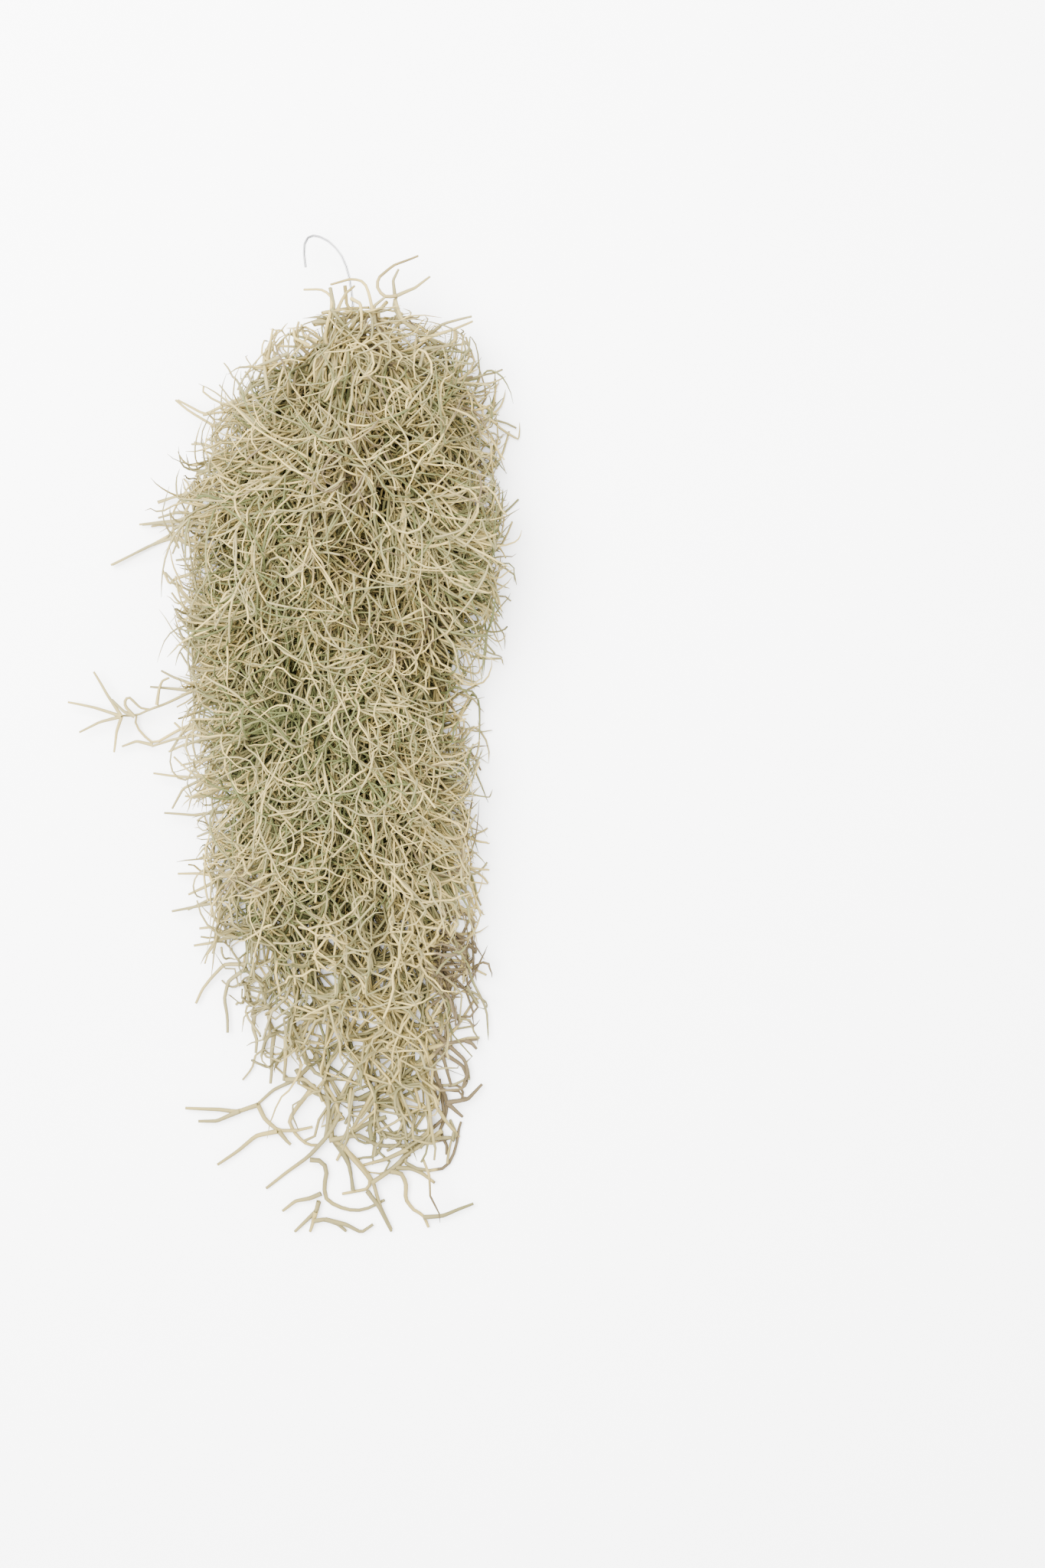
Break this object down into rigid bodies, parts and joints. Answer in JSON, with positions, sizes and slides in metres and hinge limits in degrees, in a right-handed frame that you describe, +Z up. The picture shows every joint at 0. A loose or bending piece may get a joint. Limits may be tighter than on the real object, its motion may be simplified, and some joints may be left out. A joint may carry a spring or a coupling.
{
  "type": "spanish moss bunch",
  "caption": "Long bunch of wavy grey-green air plant strands gathered at a neck by a bent wire hook, lying down.",
  "frame": {"origin": "on the surface that the bunch lies on, on a flat under side of its middle tress", "axes": "+Y along the bunch towards the hook, +Z up from the surface, X across the bunch"},
  "size_m": [0.339, 0.7646, 0.1239],
  "materials": {
    "moss": "matte, velvety grey-green plant",
    "wire": "dull grey wire"
  },
  "bodies": {
    "root": {"under_tress_1": "moss", "under_tress_2": "moss", "under_tress_3": "moss", "under_tress_4": "moss", "under_tress_5": "moss", "middle_tress_1": "moss", "middle_tress_2": "moss", "middle_tress_3": "moss", "middle_tress_4": "moss", "middle_tress_5": "moss", "front_tress_1": "moss", "front_tress_2": "moss", "front_tress_3": "moss", "front_tress_4": "moss", "front_tress_5": "moss", "wire_hook": "wire"}
  },
  "joints": []
}
